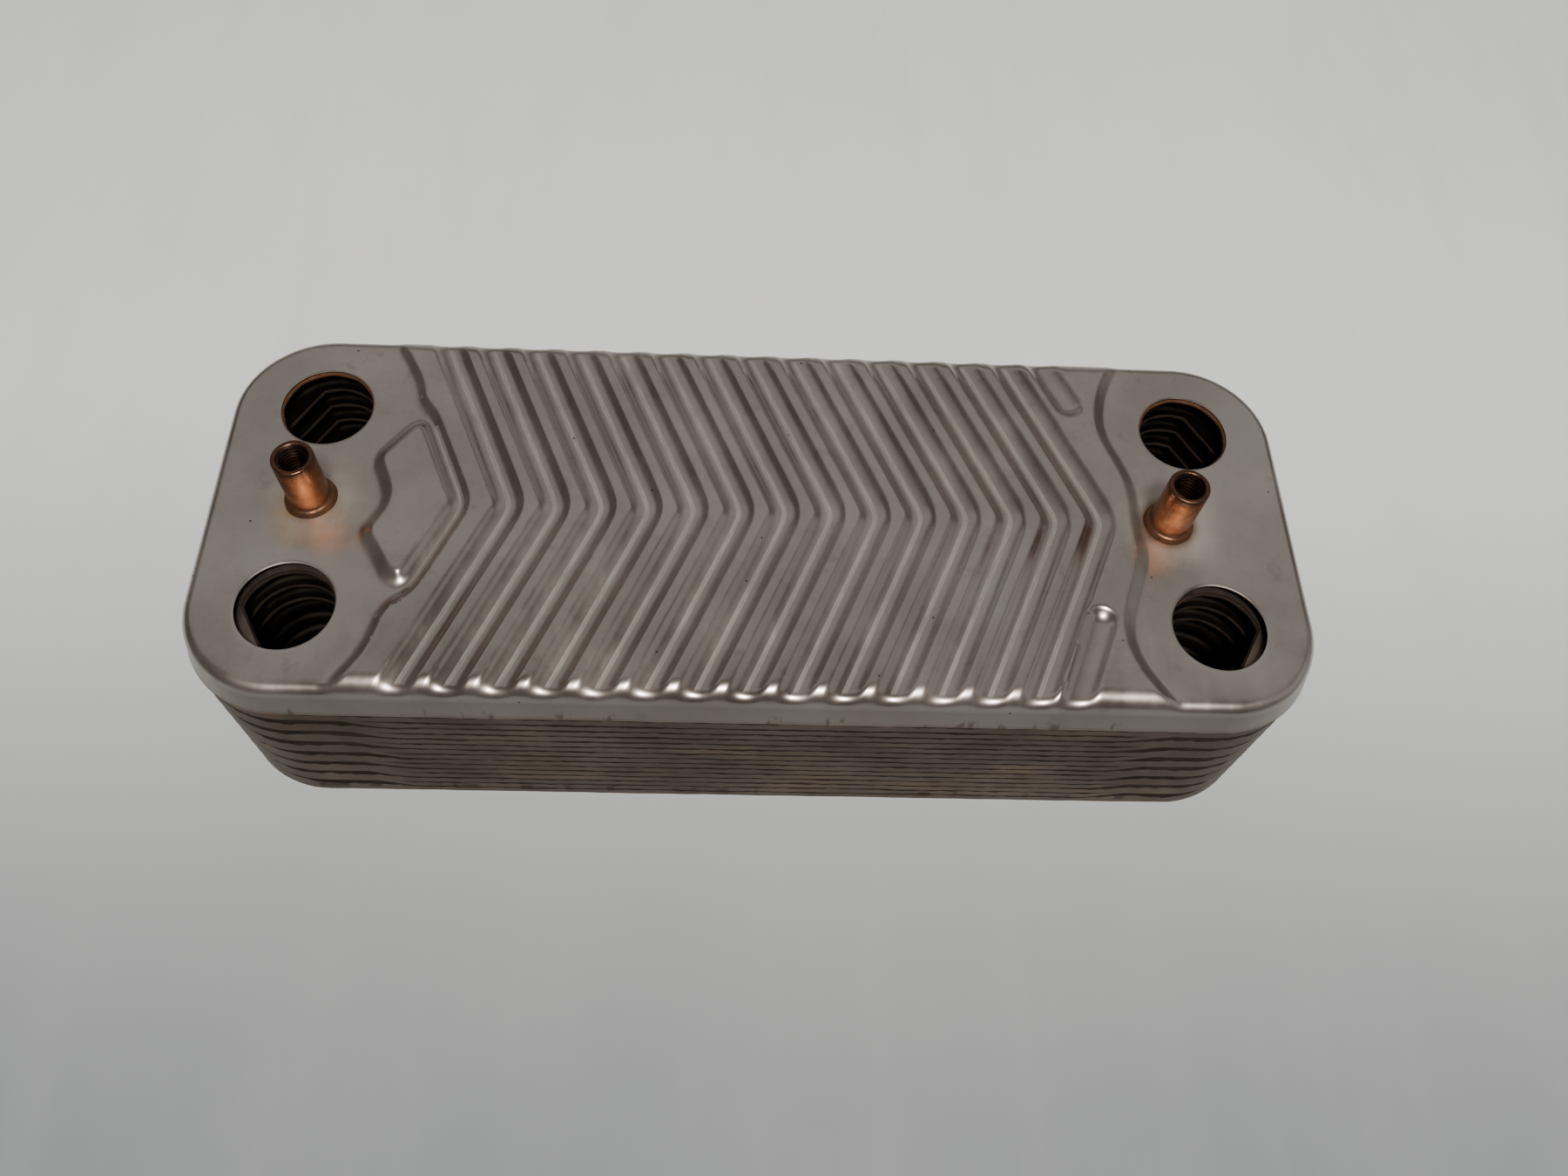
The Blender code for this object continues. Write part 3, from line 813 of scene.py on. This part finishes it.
def sleeve_mesh(name, place):
    """A sleeve with a cut thread in its bore."""
    segments = 72
    top = SLEEVE_HEIGHT
    bottom = JOINT_GAP
    pitch = 0.8
    depth = 0.3
    outside = [
        (SLEEVE_BORE_RADIUS, bottom),
        (SLEEVE_RADIUS, bottom),
        (SLEEVE_RADIUS - 0.01, bottom + 3.0),
        (SLEEVE_RADIUS + 0.01, bottom + 6.5),
        (SLEEVE_RADIUS, top - 0.45),
        (SLEEVE_RADIUS - 0.04, top - 0.18),
        (SLEEVE_RADIUS - 0.2, top - 0.02),
        (SLEEVE_RADIUS - 0.4, top),
        (SLEEVE_BORE_RADIUS + 0.62, top),
        (SLEEVE_BORE_RADIUS + 0.5, top - 0.05),
        (SLEEVE_BORE_RADIUS + 0.3, top - 0.3),
    ]
    thread = np.arange(top - 0.45, bottom + 0.2, -0.1)
    sections = []
    for k in range(segments):
        turn = k / segments
        angle = 2 * math.pi * turn
        wobble = 0.02 * math.sin(2 * angle + place[0])
        section = []
        for r, z in outside:
            section.append((r + wobble, z + 0.02 * math.sin(5 * angle) * (z > top - 0.5)))
        for z in thread:
            phase = (z / pitch - turn) % 1.0
            cut = abs(2 * phase - 1)
            section.append((SLEEVE_BORE_RADIUS + depth * cut, z))
        x, y = math.cos(angle), math.sin(angle)
        sections.append([(place[0] + r * x, place[1] + r * y, PORT_PLANE + z) for r, z in section])
    return swept_ring(name, sections)


def add_sleeves(copper, collar_copper):
    for side, place in SLEEVE_PLACES.items():
        rng = np.random.default_rng(COLLAR_SEED + len(side))
        name = f"threaded_sleeve_{side}"
        mesh = sleeve_mesh(name, place)
        finished(name, mesh, copper, f"mounting_sleeve_{side}", sharp=40)
        z = PORT_PLANE
        r = SLEEVE_RADIUS - 0.15
        profile = [
            (r, z - 0.05),
            (COLLAR_RADIUS + 0.25, z - 0.05),
            (COLLAR_RADIUS + 0.18, z + 0.12),
            (COLLAR_RADIUS + 0.02, z + 0.34),
            (COLLAR_RADIUS - 0.02, z + 0.62),
            (COLLAR_RADIUS - 0.16, z + 0.86),
            (COLLAR_RADIUS - 0.38, z + 1.0),
            (COLLAR_RADIUS - 0.56, z + 1.12),
            (SLEEVE_RADIUS + 0.02, z + 1.4),
            (r, z + 1.45),
        ]
        name = f"sleeve_collar_{side}"
        mesh = turned_ring(name, profile, 72, place, rng, 0.035)
        finished(name, mesh, collar_copper, f"sleeve_braze_{side}")


# --- materials ---


class Nodes:
    """Short ways to build a material's node tree."""

    def __init__(self, name):
        self.material = bpy.data.materials.new(name)
        self.material.use_nodes = True
        self.tree = self.material.node_tree
        self.shader = self.tree.nodes["Principled BSDF"]
        coordinates = self.tree.nodes.new("ShaderNodeTexCoord")
        self.place = coordinates.outputs["Object"]

    def new(self, kind, **values):
        node = self.tree.nodes.new(kind)
        for name, value in values.items():
            setattr(node, name, value)
        return node

    def link(self, source, target):
        self.tree.links.new(source, target)

    def feed(self, socket, value):
        if isinstance(value, bpy.types.NodeSocket):
            self.link(value, socket)
        else:
            socket.default_value = value

    def noise(self, scale, detail=3.0, rough=0.55, vector=None, stretch=None):
        source = vector or self.place
        if stretch:
            scaled = self.new("ShaderNodeVectorMath", operation="MULTIPLY")
            self.link(source, scaled.inputs[0])
            scaled.inputs[1].default_value = stretch
            source = scaled.outputs[0]
        node = self.new("ShaderNodeTexNoise")
        self.link(source, node.inputs["Vector"])
        node.inputs["Scale"].default_value = scale
        node.inputs["Detail"].default_value = detail
        node.inputs["Roughness"].default_value = rough
        return node.outputs["Fac"]

    def math(self, operation, a, b=0.0):
        node = self.new("ShaderNodeMath", operation=operation)
        self.feed(node.inputs[0], a)
        self.feed(node.inputs[1], b)
        return node.outputs[0]

    def mapped(self, value, low, high, to_low=0.0, to_high=1.0):
        node = self.new("ShaderNodeMapRange", interpolation_type="SMOOTHSTEP")
        self.feed(node.inputs["Value"], value)
        node.inputs["From Min"].default_value = low
        node.inputs["From Max"].default_value = high
        node.inputs["To Min"].default_value = to_low
        node.inputs["To Max"].default_value = to_high
        return node.outputs["Result"]

    def mix(self, share, a, b):
        node = self.new("ShaderNodeMix", data_type="RGBA")
        self.feed(node.inputs["Factor"], share)
        self.feed(node.inputs["A"], (*a, 1.0) if isinstance(a, tuple) else a)
        self.feed(node.inputs["B"], (*b, 1.0) if isinstance(b, tuple) else b)
        return node.outputs["Result"]

    def times(self, a, b):
        return self.math("MULTIPLY", a, b)

    def plus(self, a, b):
        return self.math("ADD", a, b)

    def tinted(self, colour, share, strength, tone):
        """The colour, mixed with a tone by share times strength."""
        return self.mix(self.times(share, strength), colour, tone)

    def distance(self, point):
        """Distance in metres from a point given in millimetres."""
        node = self.new("ShaderNodeVectorMath", operation="DISTANCE")
        self.link(self.place, node.inputs[0])
        node.inputs[1].default_value = [c * 0.001 for c in point]
        return node.outputs["Value"]

    def port_radius(self):
        """Distance in metres from the nearest port's axis."""
        x = self.math("ABSOLUTE", self.axis("X"))
        y = self.math("ABSOLUTE", self.axis("Y"))
        return self.gap((x, y), (PORT_X, PORT_Y))

    def gap(self, across, centre):
        """Distance in metres from a centre in millimetres, in two directions."""
        squares = []
        for value, middle in zip(across, centre):
            off = self.math("SUBTRACT", value, middle * 0.001)
            squares.append(self.math("POWER", self.math("ABSOLUTE", off), 2.0))
        return self.math("SQRT", self.plus(*squares))

    def groove_strips(self):
        """1 on the strips along the chevron grooves, and a place that runs slowly along them."""
        y = self.axis("Y")
        rounding = APEX_ROUNDING * 0.001
        spread = self.plus(self.math("POWER", y, 2.0), rounding**2)
        lag = self.times(self.math("SQRT", spread), CHEVRON_SLOPE)
        first = (GROOVE_FIRST + CHEVRON_SLOPE * APEX_ROUNDING) * 0.001
        across = self.math("SUBTRACT", self.plus(self.axis("X"), lag), first)
        turns = self.math("DIVIDE", across, GROOVE_PITCH * 0.001)
        off = self.math("ABSOLUTE", self.math("SUBTRACT", turns, self.math("ROUND", turns)))
        strip = self.mapped(off, 0.062, 0.055)
        beside_pad = self.mapped(self.math("ABSOLUTE", y), 0.0168, 0.0160)
        start = self.math("SUBTRACT", 0.5, beside_pad)
        started = self.math("GREATER_THAN", self.math("SUBTRACT", turns, start), 0.0)
        in_field = self.times(started, self.mapped(turns, 14.5, 14.4))
        short = self.mapped(self.math("ABSOLUTE", y), 0.0340, 0.0332)
        strip = self.times(strip, self.times(in_field, short))
        along = self.new("ShaderNodeCombineXYZ")
        self.link(self.times(turns, 55.0), along.inputs[0])
        self.link(self.times(y, 260.0), along.inputs[1])
        return strip, along.outputs[0]

    def sleeve_radius(self):
        """Distance in metres from the nearer sleeve's axis."""
        across = (self.axis("X"), self.axis("Y"))
        return self.math("MINIMUM", *(self.gap(across, c) for c in SLEEVE_PLACES.values()))

    def in_port(self, depth):
        """1 inside the ports from a height in metres down, fading in over 1.5 mm."""
        near = self.mapped(self.port_radius(), 0.0096, 0.0086)
        return self.times(near, self.mapped(self.axis("Z"), depth, depth - 0.0015))

    def axis(self, name):
        node = self.new("ShaderNodeSeparateXYZ")
        self.link(self.place, node.inputs[0])
        return node.outputs[name]

    def specks(self, scale, size, share):
        """Sparse dark spots: 1 in a spot. share is the part of the cells that has one."""
        node = self.new("ShaderNodeTexVoronoi")
        self.link(self.place, node.inputs["Vector"])
        node.inputs["Scale"].default_value = scale
        spot = self.mapped(node.outputs["Distance"], size, size * 0.6)
        split = self.new("ShaderNodeSeparateColor")
        self.link(node.outputs["Color"], split.inputs[0])
        chosen = self.math("LESS_THAN", split.outputs[0], share)
        return self.times(spot, chosen)

    def bump(self, height, strength, distance):
        node = self.new("ShaderNodeBump")
        node.inputs["Strength"].default_value = strength
        node.inputs["Distance"].default_value = distance
        self.link(height, node.inputs["Height"])
        self.link(node.outputs["Normal"], self.shader.inputs["Normal"])

    def set(self, name, value):
        self.feed(self.shader.inputs[name], value)


def steel_base(nodes, light, dark):
    """Clouded sheet steel: colour and roughness that vary at several scales."""
    clouds = nodes.noise(55, 4, 0.6)
    grain = nodes.noise(900, 3, 0.6)
    brushed = nodes.noise(260, 3, 0.55, stretch=(1.0, 0.12, 0.12))
    cloud_share = nodes.mapped(clouds, 0.3, 0.72)
    colour = nodes.mix(cloud_share, dark, light)
    grain_share = nodes.mapped(grain, 0.35, 0.8, 0.0, 0.28)
    colour = nodes.mix(grain_share, colour, tuple(c * 0.72 for c in light))
    rough = nodes.times(nodes.mapped(clouds, 0.3, 0.7), 0.1)
    rough = nodes.plus(rough, nodes.mapped(brushed, 0.3, 0.7, 0.0, 0.07))
    return colour, rough, grain, brushed


def cover_steel():
    nodes = Nodes("cover_steel_look")
    light = (0.49, 0.440, 0.385)
    dark = (0.40, 0.352, 0.302)
    colour, rough, grain, brushed = steel_base(nodes, light, dark)
    # Broad pale and dull patches, and small dull smears on the lands.
    patches = nodes.noise(22, 3, 0.55)
    colour = nodes.mix(nodes.mapped(patches, 0.45, 0.68, 0.0, 0.5), colour, (0.60, 0.56, 0.51))
    smears = nodes.noise(150, 5, 0.7)
    colour = nodes.mix(nodes.mapped(smears, 0.56, 0.72, 0.0, 0.4), colour, (0.27, 0.235, 0.20))
    # The flat strip along the bottom of each groove is worn lighter, in streaks along it.
    strip, along = nodes.groove_strips()
    streaks = nodes.noise(1.0, 3, 0.6, vector=along)
    worn = nodes.mix(nodes.mapped(streaks, 0.3, 0.7), (0.43, 0.392, 0.338), (0.62, 0.58, 0.51))
    colour = nodes.tinted(colour, strip, 0.85, worn)
    # A painted reflection of the left sleeve's copper in gold just in front of it, a copper stain
    # round the left sleeve, and rust at the right one's foot.
    stain_and_reflection_noise = nodes.noise(140, 5, 0.65)
    for place, reach, tone, strength in (
        # Painted reflection: the left sleeve's copper as the cover mirrors it in front of the
        # sleeve.
        ((-76.5, -3.2, 40), 0.0075, (0.50, 0.33, 0.15), 0.55),
        ((-76.5, 0.9, 40), 0.0058, (0.33, 0.19, 0.11), 0.75),
        ((71.3, 0.35, 40), 0.0060, (0.20, 0.10, 0.05), 0.95),
    ):
        near = nodes.mapped(nodes.distance(place), reach, reach * 0.62)
        share = nodes.times(near, nodes.mapped(stain_and_reflection_noise, 0.32, 0.6))
        share = nodes.times(share, strength)
        colour = nodes.mix(share, colour, tone)
    # Painted shade darkens the turned-down side of the rim below the top, with dark ticks and brown
    # tarnish along its lower edge.
    z = nodes.axis("Z")
    painted_skirt_shade = nodes.mapped(z, SKIRT_TOP, SKIRT_FOOT)
    colour = nodes.tinted(colour, painted_skirt_shade, 0.6, (0.20, 0.177, 0.15))
    low = nodes.mapped(z, 0.0366, 0.0342)
    ticks = nodes.noise(420, 2, 0.7, stretch=(1.0, 1.0, 0.16))
    tick_share = nodes.times(low, nodes.mapped(ticks, 0.6, 0.68))
    colour = nodes.tinted(colour, tick_share, 0.75, (0.10, 0.08, 0.06))
    edge = nodes.mapped(z, 0.0349, 0.0339)
    tarnish = nodes.noise(90, 4, 0.6, stretch=(1.0, 1.0, 0.4))
    edge_share = nodes.times(edge, nodes.mapped(tarnish, 0.3, 0.75, 0.25, 0.85))
    colour = nodes.mix(edge_share, colour, (0.21, 0.15, 0.10))
    spots = nodes.specks(420, 0.11, 0.06)
    colour = nodes.tinted(colour, spots, 0.85, (0.06, 0.05, 0.04))
    nodes.set("Base Color", colour)
    nodes.set("Metallic", 1.0)
    rough = nodes.plus(rough, nodes.times(strip, 0.16))
    scorched = nodes.mapped(nodes.sleeve_radius(), 0.0130, 0.0050)
    rough = nodes.plus(rough, nodes.times(scorched, 0.22))
    nodes.set("Roughness", nodes.plus(rough, 0.22))
    height = nodes.plus(nodes.times(grain, 0.5), brushed)
    nodes.bump(height, 0.07, 0.0001)
    return nodes.material


def plate_steel():
    nodes = Nodes("plate_steel_look")
    light = (0.185, 0.152, 0.122)
    dark = (0.105, 0.083, 0.064)
    colour, rough, grain, brushed = steel_base(nodes, light, dark)
    tint = nodes.noise(38, 4, 0.6, stretch=(1.0, 1.0, 2.5))
    colour = nodes.mix(nodes.mapped(tint, 0.5, 0.78, 0.0, 0.5), colour, (0.30, 0.22, 0.13))
    rust = nodes.noise(120, 5, 0.65)
    rusty_places = (((-75, -36, 31.5), 0.009), ((-88, -30, 30), 0.006), ((40, -36, 32), 0.007))
    for place, reach in rusty_places:
        near = nodes.mapped(nodes.distance(place), reach, reach * 0.3)
        share = nodes.times(near, nodes.mapped(rust, 0.42, 0.66, 0.0, 0.7))
        colour = nodes.mix(share, colour, (0.24, 0.12, 0.06))
    # Braze marks in a row along the lowest rim.
    z = nodes.axis("Z")
    row = nodes.times(nodes.mapped(z, 0.0034, 0.0026), nodes.mapped(z, 0.0004, 0.0012))
    marks = nodes.noise(260, 1, 0.5, stretch=(1.0, 1.0, 0.05))
    share = nodes.times(row, nodes.mapped(marks, 0.53, 0.62, 0.0, 0.85))
    colour = nodes.mix(share, colour, (0.07, 0.05, 0.04))
    # Oxide and shade blacken the lands inside the ports.
    inner = nodes.in_port(PORT_SHADE_TOP)
    colour = nodes.tinted(colour, inner, 0.93, (0.012, 0.009, 0.007))
    nodes.set("Base Color", colour)
    nodes.set("Metallic", 1.0)
    nodes.set("Roughness", nodes.plus(rough, 0.36))
    nodes.bump(nodes.plus(grain, brushed), 0.15, 0.0001)
    return nodes.material


def sleeve_copper():
    nodes = Nodes("sleeve_copper_look")
    streaks = nodes.noise(330, 4, 0.6, stretch=(1.0, 1.0, 0.3))
    clouds = nodes.noise(170, 4, 0.6)
    colour = nodes.mix(nodes.mapped(streaks, 0.3, 0.7), (0.20, 0.070, 0.030), (0.41, 0.158, 0.070))
    dull = nodes.mapped(clouds, 0.44, 0.68, 0.0, 0.75)
    colour = nodes.mix(dull, colour, (0.11, 0.048, 0.026))
    z = nodes.axis("Z")
    # Painted shade darkens the sleeve's top face.
    top = nodes.mapped(z, 0.0498, 0.0513)
    colour = nodes.tinted(colour, top, 0.8, (0.085, 0.05, 0.034))
    # Painted shade darkens the threaded bore.
    bore = nodes.mapped(nodes.sleeve_radius(), 0.0028, 0.0026)
    colour = nodes.tinted(colour, bore, 0.88, (0.035, 0.024, 0.018))
    foot = nodes.mapped(z, 0.0430, 0.0412)
    colour = nodes.tinted(colour, foot, 0.55, (0.22, 0.10, 0.05))
    spots = nodes.specks(700, 0.2, 0.12)
    colour = nodes.tinted(colour, spots, 0.7, (0.10, 0.06, 0.04))
    nodes.set("Base Color", colour)
    nodes.set("Metallic", 1.0)
    nodes.set("Roughness", nodes.mapped(clouds, 0.3, 0.7, 0.26, 0.46))
    nodes.bump(nodes.plus(streaks, nodes.noise(1500, 2)), 0.32, 0.00012)
    return nodes.material


def collar_copper():
    nodes = Nodes("collar_copper_look")
    clouds = nodes.noise(400, 5, 0.65)
    colour = nodes.mix(nodes.mapped(clouds, 0.34, 0.68), (0.07, 0.036, 0.022), (0.24, 0.11, 0.055))
    nodes.set("Base Color", colour)
    nodes.set("Metallic", nodes.mapped(clouds, 0.3, 0.6, 0.5, 0.95))
    nodes.set("Roughness", nodes.mapped(clouds, 0.3, 0.7, 0.5, 0.36))
    nodes.bump(nodes.noise(1300, 4, 0.6), 0.35, 0.00015)
    return nodes.material


def braze_copper():
    nodes = Nodes("braze_copper_look")
    clouds = nodes.noise(120, 5, 0.65, stretch=(1.0, 1.0, 1.8))
    fine = nodes.noise(900, 4, 0.6)
    share = nodes.mapped(clouds, 0.35, 0.7)
    colour = nodes.mix(share, (0.018, 0.012, 0.009), (0.038, 0.026, 0.018))
    copper = nodes.mapped(nodes.noise(75, 3, 0.5), 0.62, 0.78, 0.0, 0.4)
    colour = nodes.mix(copper, colour, (0.10, 0.052, 0.028))
    # The rings straight under the cover stay bright copper, and the deeper ones are darkened by
    # oxide and painted shade, as the lands inside the ports are.
    ring = nodes.mapped(nodes.port_radius(), 0.0096, 0.0086)
    upper = nodes.times(ring, nodes.mapped(nodes.axis("Z"), PORT_SHADE_TOP, 0.0382))
    colour = nodes.tinted(colour, upper, 0.7, (0.15, 0.07, 0.036))
    inner = nodes.in_port(PORT_SHADE_TOP)
    colour = nodes.tinted(colour, inner, 0.85, (0.014, 0.009, 0.006))
    nodes.set("Base Color", colour)
    nodes.set("Metallic", nodes.times(upper, 0.6))
    nodes.set("Specular IOR Level", 0.08)
    nodes.set("Roughness", nodes.mapped(fine, 0.3, 0.7, 0.65, 0.85))
    nodes.bump(fine, 0.4, 0.0002)
    return nodes.material


def floor_material():
    nodes = Nodes("floor_look")
    clouds = nodes.noise(9, 4, 0.6)
    streaks = nodes.noise(60, 3, 0.6, stretch=(1.0, 0.15, 1.0))
    # Painted light: the floor's colour runs from dark at the front to pale at the back, in place of
    # a falloff of the light across it.
    back = nodes.mapped(nodes.axis("Y"), -0.11, 0.07)
    colour = nodes.mix(back, (0.235, 0.258, 0.268), (0.89, 0.92, 0.925))
    faint = nodes.mapped(clouds, 0.3, 0.7, 0.0, 0.12)
    colour = nodes.mix(faint, colour, (0.58, 0.59, 0.58))
    colour = nodes.mix(nodes.mapped(streaks, 0.45, 0.8, 0.0, 0.12), colour, (0.48, 0.50, 0.51))
    nodes.set("Base Color", colour)
    nodes.set("Roughness", nodes.mapped(clouds, 0.3, 0.7, 0.5, 0.6))
    nodes.set("Specular IOR Level", 0.3)
    return nodes.material


# --- stage ---


def add_camera():
    data = bpy.data.cameras.new("camera")
    data.lens = 29.041
    data.sensor_width = 36.0
    data.clip_start = 0.01
    camera = bpy.data.objects.new("camera", data)
    camera.location = (-0.005921, -0.117883, 0.223679)
    camera.rotation_euler = [math.radians(a) for a in (29.3334, -3.0248, -0.0744)]
    bpy.context.scene.collection.objects.link(camera)
    bpy.context.scene.camera = camera


def add_area_light(name, location, target, size, power, colour):
    data = bpy.data.lights.new(name, "AREA")
    data.shape = "RECTANGLE"
    data.size, data.size_y = size
    data.energy = power
    data.color = colour
    light = bpy.data.objects.new(name, data)
    light.location = location
    direction = np.array(target, float) - np.array(location, float)
    flat = math.hypot(direction[0], direction[1])
    tilt = math.atan2(flat, -direction[2])
    light.rotation_euler = (tilt, 0.0, math.atan2(-direction[0], direction[1]))
    bpy.context.scene.collection.objects.link(light)


def add_stage(material):
    mesh = bpy.data.meshes.new("floor")
    corners = [(-3, -3, 0), (3, -3, 0), (3, 3, 0), (-3, 3, 0)]
    mesh.from_pydata(corners, [], [(0, 1, 2, 3)])
    mesh.materials.append(material)
    floor = bpy.data.objects.new("floor", mesh)
    bpy.context.scene.collection.objects.link(floor)
    floor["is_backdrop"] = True
    world = bpy.data.worlds.new("studio")
    world.use_nodes = True
    background = world.node_tree.nodes["Background"]
    background.inputs["Color"].default_value = (0.50, 0.47, 0.44, 1.0)
    background.inputs["Strength"].default_value = 0.26
    bpy.context.scene.world = world
    warm = (1.0, 0.96, 0.91)
    cool = (0.95, 0.98, 1.0)
    add_area_light("back_panel", (0.0, 0.45, 0.62), (0, 0, 0.03), (1.5, 0.45), 0.72, cool)
    add_area_light("backdrop", (0.0, 1.3, 0.25), (0, 0, 0.1), (2.0, 0.5), 1.0, cool)
    add_area_light("key", (0.06, -0.48, 1.0), (0, 0, 0.03), (0.20, 0.20), 14.3, warm)
    add_area_light("right_panel", (1.0, -0.05, 0.45), (0, 0, 0.03), (0.8, 0.7), 0.5, cool)


def main(cad_box):
    add_camera()
    cover_look = cover_steel()
    plate_look = plate_steel()
    braze_look = braze_copper()
    add_cover(cover_look)
    add_channel_plates(plate_look)
    add_edge_beads(braze_look)
    add_port_rings(braze_look)
    add_sleeves(sleeve_copper(), collar_copper())
    add_stage(floor_material())


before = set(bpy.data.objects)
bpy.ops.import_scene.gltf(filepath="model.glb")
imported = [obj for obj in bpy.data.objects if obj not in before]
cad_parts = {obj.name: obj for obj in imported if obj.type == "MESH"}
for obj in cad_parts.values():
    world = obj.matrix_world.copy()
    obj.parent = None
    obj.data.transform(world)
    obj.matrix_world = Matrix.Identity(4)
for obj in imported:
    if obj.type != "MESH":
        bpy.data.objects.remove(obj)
main(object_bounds())
